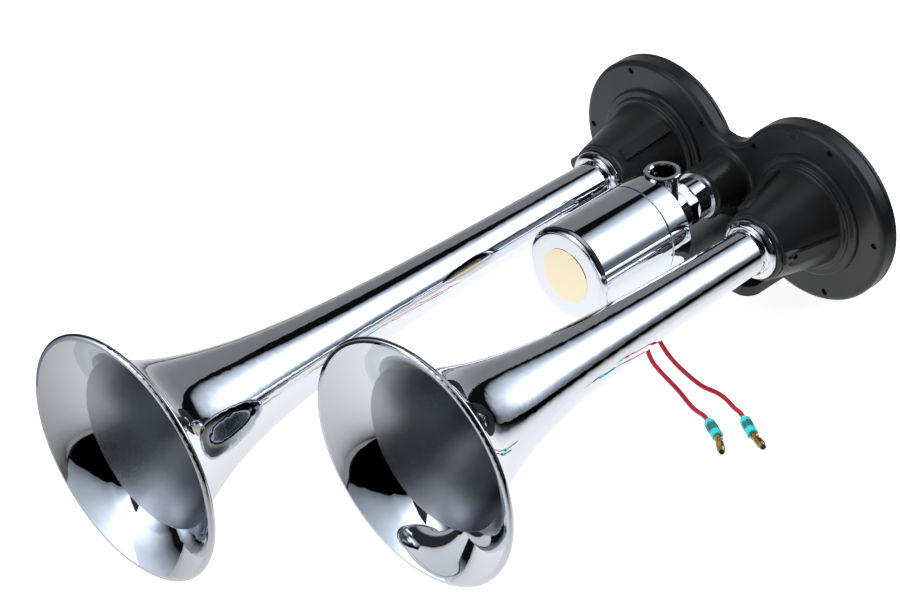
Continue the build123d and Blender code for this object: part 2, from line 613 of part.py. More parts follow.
def valve_body():
    """Die-cast valve disc with its rear block, passages and valve chamber."""
    spigot_r = CAN_R - CAN_WALL - CAN_SPIGOT_CLEARANCE
    spigot_y = SEAM_Y - CAN_SPIGOT_LENGTH
    skin = FilletPolyline(
        (0, spigot_y), (spigot_r, spigot_y), (spigot_r, SEAM_Y + SEAM_GAP),
        (CAN_R, SEAM_Y + SEAM_GAP), (CAN_R, DISC_BACK_Y), (REAR_BLOCK_R, DISC_BACK_Y),
        (REAR_BLOCK_R, HEX_FRONT_Y), (0, HEX_FRONT_Y),
        radius=[0.5, 0.3, 0.3, VALVE_EDGE_ROUND, 1.0, 0.8],
    )
    body = revolve(make_face([skin, Line((0, HEX_FRONT_Y), (0, spigot_y))]), Axis.Y)
    seal_y = SEAM_Y - SEAL_FROM_SEAM
    groove_r = spigot_r - 2 * SEAL_WIRE_R + CAN_SPIGOT_CLEARANCE
    body -= tube(spigot_r + CUT_OVER, groove_r, seal_y - SEAL_WIRE_R, seal_y + SEAL_WIRE_R)
    body -= turned(
        (0, spigot_y - CUT_OVER), (GUIDE_FLANGE_R + BOBBIN_CLEARANCE, spigot_y - CUT_OVER),
        (GUIDE_FLANGE_R + BOBBIN_CLEARANCE, GUIDE_FLANGE_Y), (VALVE_CHAMBER_R, GUIDE_FLANGE_Y),
        (VALVE_CHAMBER_R, CHAMBER_END_Y), (SEAT_R, CHAMBER_END_Y),
        (SEAT_R, SEAT_Y + SEAT_LENGTH), (NIPPLE_BORE_R, SEAT_Y + SEAT_LENGTH),
        (NIPPLE_BORE_R, HEX_FRONT_Y - BLOCK_THREAD_LENGTH),
        (BLOCK_THREAD_R, HEX_FRONT_Y - BLOCK_THREAD_LENGTH),
        (BLOCK_THREAD_R, HEX_FRONT_Y + CUT_OVER), (0, HEX_FRONT_Y + CUT_OVER),
    )
    return on_valve_axis(body) - inlet_way()


def vertical_rod(radius, z_low, z_high):
    """Cylinder on the inlet's own axis, between two heights."""
    return Pos(0, INLET_Y, (z_low + z_high) / 2) * Cylinder(radius, z_high - z_low)


def inlet_way():
    """Hole for the inlet fitting and its passage to the valve chamber."""
    shoulder_z = INLET_TOP_Z - INLET_NECK_DEPTH
    bore_z = INLET_TOP_Z - INLET_BORE_DEPTH
    way = vertical_rod(INLET_NECK_R, shoulder_z, INLET_TOP_Z)
    way += vertical_rod(INLET_FLANGE_R, INLET_TOP_Z - INLET_FLANGE_T, INLET_TOP_Z)
    way += vertical_rod(INLET_FLOOR_R, bore_z, INLET_TOP_Z)
    passage = rod(INLET_PASSAGE_R, CHAMBER_END_Y - CUT_OVER, INLET_Y)
    return way + Pos(0, 0, VALVE_Z + INLET_PASSAGE_RISE) * passage


def inlet_fitting():
    """Flanged air inlet with an inside pipe thread, set in the valve body."""
    shoulder_z = INLET_TOP_Z - INLET_NECK_DEPTH
    under_z = INLET_TOP_Z - INLET_FLANGE_T
    mouth_r = INLET_BORE_R + INLET_CHAMFER
    profile = Polyline(
        (INLET_BORE_R, shoulder_z), (INLET_NECK_R, shoulder_z), (INLET_NECK_R, under_z),
        (INLET_FLANGE_R, under_z), (INLET_FLANGE_R, INLET_TOP_Z - INLET_FLANGE_EDGE),
        (INLET_FLANGE_R - INLET_FLANGE_EDGE, INLET_TOP_Z), (mouth_r, INLET_TOP_Z),
        (INLET_BORE_R, INLET_TOP_Z - INLET_CHAMFER), close=True,
    )
    return Pos(0, INLET_Y, 0) * revolve(Plane.XZ * make_face(profile), Axis.Z)


def solenoid_can():
    """Drawn cup with a rounded front edge, with a hole for the grommet."""
    inner_r = CAN_R - CAN_WALL
    inner_y = CAN_FRONT_Y + CAN_WALL
    skin = FilletPolyline(
        (0, CAN_FRONT_Y), (CAN_R, CAN_FRONT_Y), (CAN_R, SEAM_Y), (inner_r, SEAM_Y),
        (inner_r, inner_y), (0, inner_y),
        radius=[CAN_EDGE_ROUND, 0.3, 0.2, CAN_EDGE_ROUND - CAN_WALL],
    )
    cup = revolve(make_face([skin, Line((0, inner_y), (0, CAN_FRONT_Y))]), Axis.Y)
    return on_valve_axis(cup - at_grommet(Cylinder(GROMMET_R, CAN_R)))


def at_grommet(shape):
    """Puts a shape made along Z at the can's wall, pointing out of the grommet."""
    outward = Pos(CAN_R, GROMMET_Y, 0) * Rot(0, 90, 0) * shape
    return round_y(outward, GROMMET_ANGLE)


def grommet_profile():
    """Grommet section along Z, with z = 0 on the outside of the can."""
    grip_z = -CAN_WALL - GROMMET_GRIP
    back_z = grip_z - GROMMET_BACK_T
    return Polyline(
        (0, back_z), (GROMMET_BACK_R, back_z), (GROMMET_BACK_R, grip_z), (GROMMET_R, grip_z),
        (GROMMET_R, GROMMET_HEAD_GAP), (GROMMET_HEAD_R, GROMMET_HEAD_GAP),
        (GROMMET_HEAD_R - GROMMET_HEAD_BEVEL, GROMMET_HEAD_T), (0, GROMMET_HEAD_T), close=True,
    )


def cable_grommet():
    """Rubber grommet that lets both leads out of the can."""
    plug = revolve(Plane.XZ * make_face(grommet_profile()), Axis.Z)
    return on_valve_axis(at_grommet(plug))


def can_seal():
    """O-ring between the can and the valve body."""
    seal_y = SEAM_Y - SEAL_FROM_SEAM
    radius = CAN_R - CAN_WALL - SEAL_WIRE_R
    ring = Pos(radius, seal_y) * Circle(SEAL_WIRE_R - SEAL_CLEARANCE)
    return on_valve_axis(revolve(ring, Axis.Y))


def valve_seat():
    """Brass seat pressed into the valve body."""
    back_y = SEAT_Y + SEAT_LENGTH
    return on_valve_axis(turned(
        (SEAT_BORE_R, SEAT_Y), (SEAT_LIP_R, SEAT_Y), (SEAT_R, SEAT_Y + SEAT_LIP_H),
        (SEAT_R, back_y), (SEAT_BORE_R, back_y),
    ))


def guide_tube():
    """Thin tube that guides the plunger and holds the fixed core."""
    outer = GUIDE_BORE_R + GUIDE_WALL
    flange_y = GUIDE_FLANGE_Y - GUIDE_FLANGE_T
    return on_valve_axis(turned(
        (GUIDE_BORE_R, CORE_FRONT_Y), (outer, CORE_FRONT_Y), (outer, flange_y),
        (GUIDE_FLANGE_R, flange_y), (GUIDE_FLANGE_R, GUIDE_FLANGE_Y),
        (GUIDE_BORE_R, GUIDE_FLANGE_Y),
    ))


def fixed_core():
    """Iron core in the front of the guide tube."""
    return on_valve_axis(rod(GUIDE_BORE_R, CORE_FRONT_Y, CORE_BACK_Y))


def spring_pocket_r():
    """Radius of the pocket that holds the spring."""
    return SPRING_R + SPRING_WIRE_R + SPRING_CLEARANCE


def plunger():
    """Iron plunger with a spring pocket in front and a seal pocket behind."""
    body = rod(PLUNGER_R, PLUNGER_FRONT_Y, PLUNGER_BACK_Y)
    body -= rod(spring_pocket_r(), PLUNGER_FRONT_Y - CUT_OVER,
                PLUNGER_FRONT_Y + SPRING_POCKET_DEPTH)
    body -= rod(SEAL_R, PLUNGER_BACK_Y - SEAL_T + SEAL_PROUD, PLUNGER_BACK_Y + CUT_OVER)
    return on_valve_axis(body)


def plunger_seal():
    """Rubber disc in the plunger that closes the seat."""
    back_y = PLUNGER_BACK_Y + SEAL_PROUD
    return on_valve_axis(rod(SEAL_R, back_y - SEAL_T, back_y))


def plunger_spring():
    """Coil spring between the plunger and the fixed core."""
    start_y = CORE_BACK_Y + SPRING_WIRE_R
    end_y = PLUNGER_FRONT_Y + SPRING_POCKET_DEPTH - SPRING_WIRE_R
    length = end_y - start_y
    path = Helix(length / SPRING_TURNS, length, SPRING_R)
    wire = Plane(origin=path @ 0, z_dir=path % 0) * Circle(SPRING_WIRE_R)
    coil = sweep(wire, path=path, is_frenet=True)
    return on_valve_axis(Pos(0, start_y, 0) * Rot(-90, 0, 0) * coil)


def bobbin_ends():
    """Front and rear faces of the coil bobbin."""
    front_y = CORE_FRONT_Y + BOBBIN_CLEARANCE
    back_y = SEAM_Y - CAN_SPIGOT_LENGTH - BOBBIN_CLEARANCE
    return front_y, back_y


def coil_bobbin():
    """Plastic bobbin on the guide tube."""
    front_y, back_y = bobbin_ends()
    bore_r = GUIDE_BORE_R + GUIDE_WALL + BOBBIN_CLEARANCE
    barrel_r = bore_r + BOBBIN_WALL
    return on_valve_axis(turned(
        (bore_r, front_y), (BOBBIN_R, front_y), (BOBBIN_R, front_y + BOBBIN_FLANGE_T),
        (barrel_r, front_y + BOBBIN_FLANGE_T), (barrel_r, back_y - BOBBIN_FLANGE_T),
        (BOBBIN_R, back_y - BOBBIN_FLANGE_T), (BOBBIN_R, back_y), (bore_r, back_y),
    ))


def coil_winding():
    """Copper winding between the bobbin's flanges."""
    front_y, back_y = bobbin_ends()
    barrel_r = GUIDE_BORE_R + GUIDE_WALL + BOBBIN_CLEARANCE + BOBBIN_WALL
    return on_valve_axis(
        tube(COIL_R, barrel_r, front_y + BOBBIN_FLANGE_T, back_y - BOBBIN_FLANGE_T))


def solenoid_label():
    """Round paper label on the front of the can, left blank."""
    return on_valve_axis(rod(LABEL_R, CAN_FRONT_Y - LABEL_T, CAN_FRONT_Y))


# ---------------------------------------------------------------- leads

def lead_exit(offset, drop):
    """Point on a lead's straight run out of the grommet."""
    reach = CAN_R + GROMMET_HEAD_T + drop
    turn = radians(GROMMET_ANGLE)
    return (reach * cos(turn), GROMMET_Y + offset, VALVE_Z + reach * sin(turn))


def lead_points(offset, route, sleeve_ends):
    """Whole route of a lead: square out of the grommet and straight into its sleeve."""
    start, end = (Vector(p) for p in sleeve_ends)
    tail = start - (end - start).normalized() * LEAD_TAIL
    return [lead_exit(offset, 0), lead_exit(offset, LEAD_DROP), *route,
            tuple(tail), tuple(start)]


def lead_radii(points):
    """Bend radius at each inner point of a route."""
    radii = []
    for before, here, after in zip(points, points[1:], points[2:]):
        run_in = Vector(here) - Vector(before)
        run_out = Vector(after) - Vector(here)
        half_turn = radians(run_in.get_angle(run_out)) / 2
        radii.append(LEAD_ARC_SHARE * min(run_in.length, run_out.length) / tan(half_turn))
    return radii


def lead(name, offset, route, sleeve_ends):
    """Insulated wire of straight runs and tangent arcs from the grommet to its sleeve."""
    points = lead_points(offset, route, sleeve_ends)
    radii = lead_radii(points)
    path = FilletPolyline(*points, radius=radii)
    section = Plane(origin=path @ 0, z_dir=path % 0) * Circle(LEAD_R)
    wire = sweep(section, path=path)
    expected = pi * LEAD_R**2 * path.length
    print(f"{name}: length {path.length:.1f}, radii {[round(r, 1) for r in radii]}, "
          f"volume ratio {wire.volume / expected:.4f}")
    return wire


def along(start, end, profile, origin=None):
    """Revolves a (radius, distance) outline about the direction from start to end."""
    upright = revolve(Plane.XZ * make_face(profile), Axis.Z)
    place = Plane(origin=origin or start, z_dir=Vector(end) - Vector(start))
    return place * upright


def sleeve(sleeve_ends):
    """Soft insulating sleeve over the crimp of a bullet terminal."""
    start, end = sleeve_ends
    length = (Vector(end) - Vector(start)).length
    bore_r = BULLET_BARREL_R + BULLET_CLEARANCE
    profile = Polyline(
        (0, 0), (SLEEVE_NECK_R, 0), (SLEEVE_R, SLEEVE_NECK_LENGTH),
        (SLEEVE_R, length - SLEEVE_EDGE), (SLEEVE_R - SLEEVE_EDGE, length), (bore_r, length),
        (bore_r, length - BULLET_BARREL_LENGTH),
        (0, length - BULLET_BARREL_LENGTH), close=True,
    )
    return along(start, end, profile)


def bullet(sleeve_ends, tip):
    """Brass bullet terminal: a crimp barrel in the sleeve and a waisted pin."""
    start, end = sleeve_ends
    gap = BULLET_GAP
    length = (Vector(tip) - Vector(end)).length
    barrel = Polyline(
        (0, -BULLET_BARREL_LENGTH), (BULLET_BARREL_R, -BULLET_BARREL_LENGTH),
        (BULLET_BARREL_R, gap + BULLET_LAP), (0, gap + BULLET_LAP), close=True,
    )
    waist = [(radius, gap + distance) for distance, radius in BULLET_OUTLINE]
    pin = Polyline(
        (0, gap), *waist, (BULLET_R, length - BULLET_TIP_LENGTH), (BULLET_TIP_R, length),
        (0, length), close=True,
    )
    return along(start, end, barrel, origin=end) + along(end, tip, pin)


# ---------------------------------------------------------------- assembly

def build():
    """Every piece of the horn by name."""
    return {
        "long_trumpet": trumpet(LEFT_X, LONG_REACH, LONG_TAPER, LONG_FLARE),
        "short_trumpet": trumpet(RIGHT_X, SHORT_REACH, SHORT_TAPER, SHORT_FLARE),
        "horn_housing": horn_housing(),
        "left_gasket": gasket(LEFT_X),
        "right_gasket": gasket(RIGHT_X),
        "left_diaphragm": diaphragm(LEFT_X),
        "right_diaphragm": diaphragm(RIGHT_X),
        "left_back_cover": back_cover(LEFT_X),
        "right_back_cover": back_cover(RIGHT_X),
        "left_cover_screws": cover_screws(LEFT_X),
        "right_cover_screws": cover_screws(RIGHT_X),
        "left_collar_screw": collar_screw(LEFT_X),
        "right_collar_screw": collar_screw(RIGHT_X),
        "nipple_washer": nipple_washer(),
        "outlet_nipple": outlet_nipple(),
        "valve_body": valve_body(),
        "inlet_fitting": inlet_fitting(),
        "solenoid_can": solenoid_can(),
        "can_seal": can_seal(),
        "cable_grommet": cable_grommet(),
        "valve_seat": valve_seat(),
        "guide_tube": guide_tube(),
        "fixed_core": fixed_core(),
        "plunger": plunger(),
        "plunger_seal": plunger_seal(),
        "plunger_spring": plunger_spring(),
        "coil_bobbin": coil_bobbin(),
        "coil_winding": coil_winding(),
        "solenoid_label": solenoid_label(),
        "front_lead": lead("front_lead", -LEAD_PITCH / 2, FRONT_LEAD, FRONT_SLEEVE),
        "rear_lead": lead("rear_lead", LEAD_PITCH / 2, REAR_LEAD, REAR_SLEEVE),
        "front_sleeve": sleeve(FRONT_SLEEVE),
        "rear_sleeve": sleeve(REAR_SLEEVE),
        "front_bullet": bullet(FRONT_SLEEVE, FRONT_BULLET_END),
        "rear_bullet": bullet(REAR_SLEEVE, REAR_BULLET_END),
    }


def write(parts):
    """One STEP file for each piece."""
    os.makedirs("parts", exist_ok=True)
    for name, shape in parts.items():
        solids = shape if isinstance(shape, list) else [shape]
        solids = [s for item in solids for s in item.solids()]
        export_step(Compound(children=solids) if len(solids) > 1 else solids[0],
                    f"parts/{name}.step")


write(build())
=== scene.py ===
import math

import bmesh
import bpy
from mathutils import Matrix, Vector


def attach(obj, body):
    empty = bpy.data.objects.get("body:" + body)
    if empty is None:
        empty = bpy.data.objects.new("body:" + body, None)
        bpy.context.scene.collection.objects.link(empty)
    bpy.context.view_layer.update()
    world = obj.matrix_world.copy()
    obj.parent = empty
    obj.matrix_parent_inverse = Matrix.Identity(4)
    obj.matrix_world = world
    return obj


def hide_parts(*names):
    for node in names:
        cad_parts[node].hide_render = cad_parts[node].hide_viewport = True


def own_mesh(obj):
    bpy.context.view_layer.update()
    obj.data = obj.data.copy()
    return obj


# Twin-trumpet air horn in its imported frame. Lengths are in metres unless a name says mm, and
# angles are in degrees. Colours are red, green and blue. A grain is in features to the metre.

# ---- Camera ----
CAMERA_AT = (0.78529, -0.85980, 0.74925)
CAMERA_RIGHT = (0.69799, 0.71325, -0.06402)
CAMERA_UP = (-0.35722, 0.42426, 0.83211)
CAMERA_BACK = (0.62066, -0.55793, 0.55091)
LENS_MM = 118.31
SENSOR_MM = 36.0
CLIP_NEAR = 0.05
CLIP_FAR = 20.0

# ---- Resting plane: both discs and the short bell's rim touch it ----
FLOOR_POINT = (0.0, 0.0364, -0.0182)
FLOOR_NORMAL = (0.0, -0.05089, 0.99870)
FLOOR_RADIUS = 1.6
FLOOR_SIDES = 96

# ---- Sizes repeated from the CAD model ----
AXIS_Z = 0.026
LEFT_X = -0.04695
RIGHT_X = 0.04695
LONG_MOUTH_Y = -0.3015
SHORT_MOUTH_Y = -0.2246

# ---- Noise: ranges in which most of its values lie ----
NOISE_MIDDLE = (0.3, 0.7)
NOISE_WIDE = (0.25, 0.75)

# ---- Chrome: polished outside and in a ring inside each mouth, satin deeper in, with painted shade on its right wall ----
CHROME = (0.86, 0.88, 0.92)
HAZE_GRAIN = 60.0
HAZE_SHADE = 0.97               # share of the colour that the haze leaves
VALVE_ROUGH = (0.015, 0.04)
TRUMPET_ROUGH = (0.015, 0.035)
POLISHED_DEPTH = 0.0137
SATIN_EDGE = 0.0005
SATIN_GRAIN = 1500.0
SATIN_DARK = (0.52, 0.53, 0.56)
SATIN_LIGHT = (0.64, 0.65, 0.69)
SATIN_ROUGH = (0.30, 0.42)
SATIN_RIGHT = (0.004, 0.02)     # right of the axis, where painted shade darkens the wall
SATIN_SHADED = (0.10, 0.10, 0.11)

# ---- Black enamel of the casting. The foot's upward top between the sockets gets painted light, a paler grey ----
ENAMEL_DARK = (0.014, 0.014, 0.014)
ENAMEL_LIGHT = (0.020, 0.020, 0.020)
ENAMEL_ROUGH = (0.27, 0.36)
ENAMEL_GRAIN = 35.0
CASTING_GRAIN = 900.0
CASTING_DEPTH = 0.00003
FOOT_SIDE = (0.024, 0.021)
FOOT_TOP = (0.0058, 0.0052)
FOOT_UP = (0.5, 0.8)            # upward part of the surface's direction
# painted light: grey that stands in for light reflected by the foot's upward top
FOOT_PAINTED_LIGHT = (0.32, 0.32, 0.32)

# ---- Bullet terminals: brass with a black tip ----
TERMINAL_DARK = (0.42, 0.28, 0.10)
TERMINAL_LIGHT = (0.66, 0.45, 0.18)
TERMINAL_ROUGH = (0.18, 0.30)
TERMINAL_GRAIN = 250.0
TIP_COLOUR = (0.03, 0.03, 0.025)
TIP_RADIUS = 0.0016
TIP_CORE = 0.8                  # share of that radius that is fully black
FRONT_TIP = (0.0950, -0.0880, -0.02175)
REAR_TIP = (0.1069, -0.0742, -0.02105)

# ---- Sleeves: teal vinyl, darker round the crimp ----
TEAL_DARK = (0.03, 0.70, 0.72)
TEAL_LIGHT = (0.05, 0.86, 0.86)
TEAL_ROUGH = (0.15, 0.25)
TEAL_GRAIN = 500.0
CRIMP_COLOUR = (0.02, 0.20, 0.19)
CRIMP_RADII = (0.0046, 0.0038)  # where the dark starts and where it is full
CRIMP_RAGGED = 0.0014
CRIMP_GRAIN = 600.0
FRONT_CRIMP = (0.0812, -0.0781, -0.0212)
REAR_CRIMP = (0.0923, -0.0672, -0.0207)

# ---- Small and hidden pieces ----
ZINC = (0.10, 0.10, 0.105)
DIAPHRAGM_STEEL = (0.55, 0.55, 0.54)
TURNED_STEEL = (0.5, 0.5, 0.51)
ALUMINIUM = (0.78, 0.78, 0.79)
BRASS = (0.60, 0.40, 0.16)
COPPER = (0.62, 0.26, 0.12)
NYLON = (0.72, 0.70, 0.62)
LABEL_FOIL = (1.0, 0.87, 0.63)
LEAD_RED = (0.62, 0.004, 0.045)
RUBBER = (0.02, 0.02, 0.02)
RUBBER_DEPTH = 0.00003
ROUGH_SPREAD = 0.15             # share by which the roughness varies

# ---- Studio: dark, with a panel behind the horn, two cards before its bells and a soft sun ----
# A panel is given by its distance from the origin and the direction of its nearest point, from
# +X towards +Y and upwards. Places on it are to the left and upwards, as seen from the origin.
# A list holds stops of place and level. An EDGE list gives the place of an edge at each height.
DARKNESS = (0.028, 0.029, 0.033)
OVERHEAD = (0.45, 0.46, 0.48)
OVERHEAD_FROM = (0.82, 0.97)    # upward part of the direction
BACKDROP = (0.98, 0.98, 0.98)   # behind the horn, for the camera alone
REAR_PANEL = (0.40, 110.0, -5.0)
REAR_SIZE = ((-2.4, 0.7), (-0.15, 1.35))
BOX_TINT = (0.88, 0.99, 1.13)
BOX_LEVEL = 2.2
BOX_EDGE = [(0.1, 0.30), (0.2, 0.17), (0.3, 0.05), (0.4, 0.0), (0.7, 0.0), (0.8, 0.03),
            (0.9, 0.07), (1.0, 0.09)]
BOX_ACROSS = [(0.005, 0.002), (0.02, 0.04), (0.05, 0.12), (0.1, 0.21), (0.15, 0.28),
              (0.25, 0.43), (0.3, 0.54), (0.4, 0.8), (0.5, 1.0)]
BOX_FADE_SLOPE = 0.5
BOX_FADE_START = 0.2
BOX_FADE = [(-0.25, 0.06), (-0.12, 0.10), (-0.02, 0.22), (0.05, 0.36), (0.12, 0.6), (0.25, 1.0)]
BOX_TOP = [(1.1, 1.0), (1.3, 0.0)]
BOARD_TINT = (0.98, 1.0, 1.03)
BOARD_EDGE = [(0.2, 0.02), (0.3, 0.05), (0.4, 0.08), (0.5, 0.12), (0.6, 0.15)]
BOARD_EDGE_FROM = -0.05
BOARD_TOP = 0.53
BOARD_TOP_SLOPE = 0.5
BOARD_SOFT = 0.012
BOARD_LEVEL = [(-0.1, 0.7), (0.06, 0.45), (0.14, 0.28), (0.25, 0.21), (0.6, 0.19)]
CARD = (0.80, -80.0, -30.0)     # large card before the bells, dark left of its edge
CARD_SIZE = ((-2.0, 1.2), (0.2, 3.4))
CARD_EDGE = [(0.38, 0.02), (0.46, 0.05), (0.54, 0.09), (0.62, 0.12), (0.78, 0.155), (0.94, 0.17),
             (1.1, 0.18), (1.26, 0.22), (1.34, 0.25)]
CARD_EDGE_FROM = -0.12
CARD_LEVEL = 1.8
CARD_ACROSS = [(0.0, 0.0), (0.012, 0.085), (0.06, 0.12), (0.1, 0.167), (0.18, 0.235),
               (0.26, 0.29), (0.34, 0.37), (0.42, 0.47), (0.5, 0.61), (0.6, 1.0)]
FLAG = (0.38, -100.0, -20.0)    # nearer card right of it, dark but for its left part
FLAG_SIZE = ((-0.9, -0.05), (-0.15, 1.0))
FLAG_EDGE = [(0.10, 0.21), (0.14, 0.20), (0.18, 0.165), (0.22, 0.13), (0.26, 0.125),
             (0.30, 0.10), (0.34, 0.07), (0.5, 0.04)]
FLAG_EDGE_FROM = -0.40
FLAG_ACROSS = [(0.0, 0.003), (0.012, 0.03), (0.03, 0.05), (0.07, 0.13), (0.11, 0.26),
               (0.15, 0.5), (0.19, 0.75), (0.25, 1.0)]
FILL_FROM = (-0.1, -0.4, 0.8)
FILL_POWER = 2.2
FILL_SPREAD = 50.0

# ---- Ground: even for the camera, a bright pool round the horn for the chrome ----
GROUND_COLOUR = (0.9, 0.9, 0.9)
GROUND_ROUGH = 0.9
GROUND_LIGHT = (1.0, 1.0, 1.0)
GROUND_GLOW = 0.88
POOL_TINT = (0.97, 0.98, 1.0)
POOL_CENTRE = (-0.02, -0.08)
POOL_LEVEL = 1.12
# Its reach to the right, at each place along the horn.
POOL_RIGHT = [(-0.5, 0.18), (-0.35, 0.22), (-0.25, 0.34), (-0.08, 0.32), (0.0, 0.2), (0.08, 0.11)]
POOL_LEFT = 0.36
POOL_ALONG = 0.36
POOL_FAR = 0.11                 # dim ground on the left
POOL_FAR_FROM = (0.02, -0.06)
TABLE_LEVEL = 0.25              # even ground before the bells, up to a leaning edge
TABLE_ACROSS = (-0.06, 0.04)
TABLE_EDGE = (-0.76, -0.745)
TABLE_LEAN = 0.346
TABLE_RIGHT = (0.35, 0.33)
TABLE_BACK = (-0.46, -0.52)

# ---- Leads: the same route points as the CAD tubes ----
LEAD_RADIUS = 0.0011
LEAD_GRAIN = 600.0
LEAD_STEPS = 12                 # between two route points
LEAD_ROUNDNESS = 8
FRONT_LEAD = [
    (0.0126, -0.0509, 0.00618), (0.0160, -0.0509, 0.00029), (0.0172, -0.0516, -0.0075),
    (0.0198, -0.0544, -0.01625), (0.0250, -0.0570, -0.02085), (0.0328, -0.0598, -0.02175),
    (0.0403, -0.0623, -0.02195), (0.0482, -0.0649, -0.02205), (0.0552, -0.0678, -0.0222),
    (0.0614, -0.0704, -0.02235), (0.0669, -0.0720, -0.02205), (0.07203, -0.07327, -0.02093),
    (0.0761, -0.0754, -0.02105),
]
REAR_LEAD = [
    (0.0126, -0.0483, 0.00618), (0.0160, -0.0483, 0.00029), (0.0171, -0.0477, -0.0075),
    (0.0197, -0.0469, -0.01505), (0.0250, -0.0479, -0.01975), (0.0326, -0.0505, -0.02125),
    (0.0402, -0.0530, -0.0214), (0.0482, -0.0551, -0.0215), (0.0565, -0.0568, -0.0216),
    (0.0640, -0.0558, -0.02155), (0.0706, -0.0570, -0.0216), (0.0774, -0.0598, -0.02165),
    (0.08324, -0.06187, -0.02043), (0.0872, -0.0642, -0.02055),
]


# ---------------------------------------------------------------- small tools

def add_object(name, data):
    """New object in the scene for some data."""
    obj = bpy.data.objects.new(name, data)
    bpy.context.scene.collection.objects.link(obj)
    return obj


def make_camera():
    """Camera that looks down on the horn from beside its bells."""
    data = bpy.data.cameras.new("camera")
    data.lens = LENS_MM
    data.sensor_width = SENSOR_MM
    data.clip_start = CLIP_NEAR
    data.clip_end = CLIP_FAR
    camera = add_object("camera", data)
    turn = Matrix((CAMERA_RIGHT, CAMERA_UP, CAMERA_BACK)).transposed()
    camera.matrix_world = Matrix.Translation(CAMERA_AT) @ turn.to_4x4()
    bpy.context.scene.camera = camera


def lead(name, points):
    """Free wire along its route from the grommet to its sleeve."""
    curve = bpy.data.curves.new(name, "CURVE")
    curve.dimensions = "3D"
    spline = curve.splines.new("NURBS")
    spline.points.add(len(points) - 1)
    for point, place in zip(spline.points, points):
        point.co = (*place, 1.0)
        point.radius = LEAD_RADIUS
    spline.order_u = 3
    spline.use_endpoint_u = True
    spline.resolution_u = LEAD_STEPS
    curve.bevel_depth = 1.0  # times each point's own radius, which keeps the curve's box tight
    curve.bevel_resolution = LEAD_ROUNDNESS
    curve.use_fill_caps = True
    wire = add_object(name, curve)
    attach(wire, "horn")
    return wire


# ---------------------------------------------------------------- node trees

class Graph:
    """Short ways to add nodes to a node tree."""

    def __init__(self, tree):
        self.tree = tree
        self.nodes = tree.nodes

    def node(self, kind, settings=None, **inputs):
        """Adds a node. Inputs are values or sockets, by name or by number."""
        made = self.nodes.new(kind)
        for key, value in (settings or {}).items():
            setattr(made, key, value)
        for key, value in inputs.items():
            socket = made.inputs[int(key[1:])] if key[0] == "_" else made.inputs[key]
            self.put(socket, value)
        return made

    def put(self, socket, value):
        """Links a socket or sets it to a constant. A colour has three parts."""
        if isinstance(value, bpy.types.NodeSocket):
            self.tree.links.new(value, socket)
        elif socket.type == "RGBA":
            socket.default_value = (*value, 1.0)
        else:
            socket.default_value = value

    def math(self, operation, *values):
        """One arithmetic step."""
        inputs = {f"_{index}": value for index, value in enumerate(values)}
        return self.node("ShaderNodeMath", {"operation": operation}, **inputs).outputs[0]

    def plus(self, first, second):
        """Sum of two values."""
        return self.math("ADD", first, second)

    def minus(self, first, second):
        """Difference of two values."""
        return self.math("SUBTRACT", first, second)

    def times(self, value, *others):
        """Product of all the values."""
        for other in others:
            value = self.math("MULTIPLY", value, other)
        return value

    def split(self, vector):
        """The three parts of a vector."""
        return self.node("ShaderNodeSeparateXYZ", Vector=vector).outputs

    def distance(self, first, second):
        """Distance between two places."""
        settings = {"operation": "DISTANCE"}
        return self.node("ShaderNodeVectorMath", settings, _0=first, _1=second).outputs["Value"]

    def line(self, value, low, high, out_low=0.0, out_high=1.0, kind="LINEAR"):
        """Value mapped from one range to another and clamped."""
        return self.node(
            "ShaderNodeMapRange", {"interpolation_type": kind}, Value=value,
            **{"From Min": low, "From Max": high, "To Min": out_low, "To Max": out_high},
        ).outputs[0]

    def span(self, value, low, high, out_low=0.0, out_high=1.0):
        """The same with soft ends."""
        return self.line(value, low, high, out_low, out_high, "SMOOTHSTEP")

    def ramp(self, value, stops):
        """Level through stops of place and level, which stays the same beyond the last ones."""
        low, high = stops[0][0], stops[-1][0]
        made = self.node("ShaderNodeValToRGB", Fac=self.line(value, low, high))
        elements = made.color_ramp.elements
        for index, (place, level) in enumerate(stops):
            position = (place - low) / (high - low)
            stop = elements[index] if index < 2 else elements.new(position)
            stop.position = position
            stop.color = (level, level, level, 1.0)
        return made.outputs["Color"]

    def mix(self, factor, first, second):
        """Colour mix."""
        return self.node(
            "ShaderNodeMix", {"data_type": "RGBA"}, _0=factor, _6=first, _7=second,
        ).outputs[2]

    def blend(self, factor, first, second):
        """Mix of two values."""
        return self.node(
            "ShaderNodeMix", {"data_type": "FLOAT"}, _0=factor, _2=first, _3=second,
        ).outputs[0]

    def camera_sees(self):
        """1 for what the camera sees by itself, 0 for what is reflected or lit."""
        return self.node("ShaderNodeLightPath").outputs["Is Camera Ray"]


class Shader(Graph):
    """A new material with a principled shader."""

    def __init__(self, name):
        self.material = bpy.data.materials.new(name)
        self.material.use_nodes = True
        super().__init__(self.material.node_tree)
        self.main = self.nodes["Principled BSDF"]
        self.place = self.node("ShaderNodeTexCoord").outputs["Object"]

    def noise(self, grain, detail=3.0):
        """Noise value from 0 to 1 at so many features to the metre."""
        return self.node(
            "ShaderNodeTexNoise", Vector=self.place, Scale=grain, Detail=detail,
        ).outputs["Fac"]

    def facing(self):
        """The three parts of the surface's direction."""
        return self.split(self.node("ShaderNodeNewGeometry").outputs["Normal"])

    def set(self, **inputs):
        """Sets inputs of the principled shader, with _ for a space."""
        for key, value in inputs.items():
            self.put(self.main.inputs[key.replace("_", " ")], value)

    def bump(self, height, distance):
        """Links a bump from a height, with its depth in metres."""
        made = self.node("ShaderNodeBump", Height=height, Distance=distance)
        self.put(self.main.inputs["Normal"], made.outputs[0])

    def surface(self, output):
        """Makes an output the surface of the material."""
        self.put(self.nodes["Material Output"].inputs["Surface"], output)


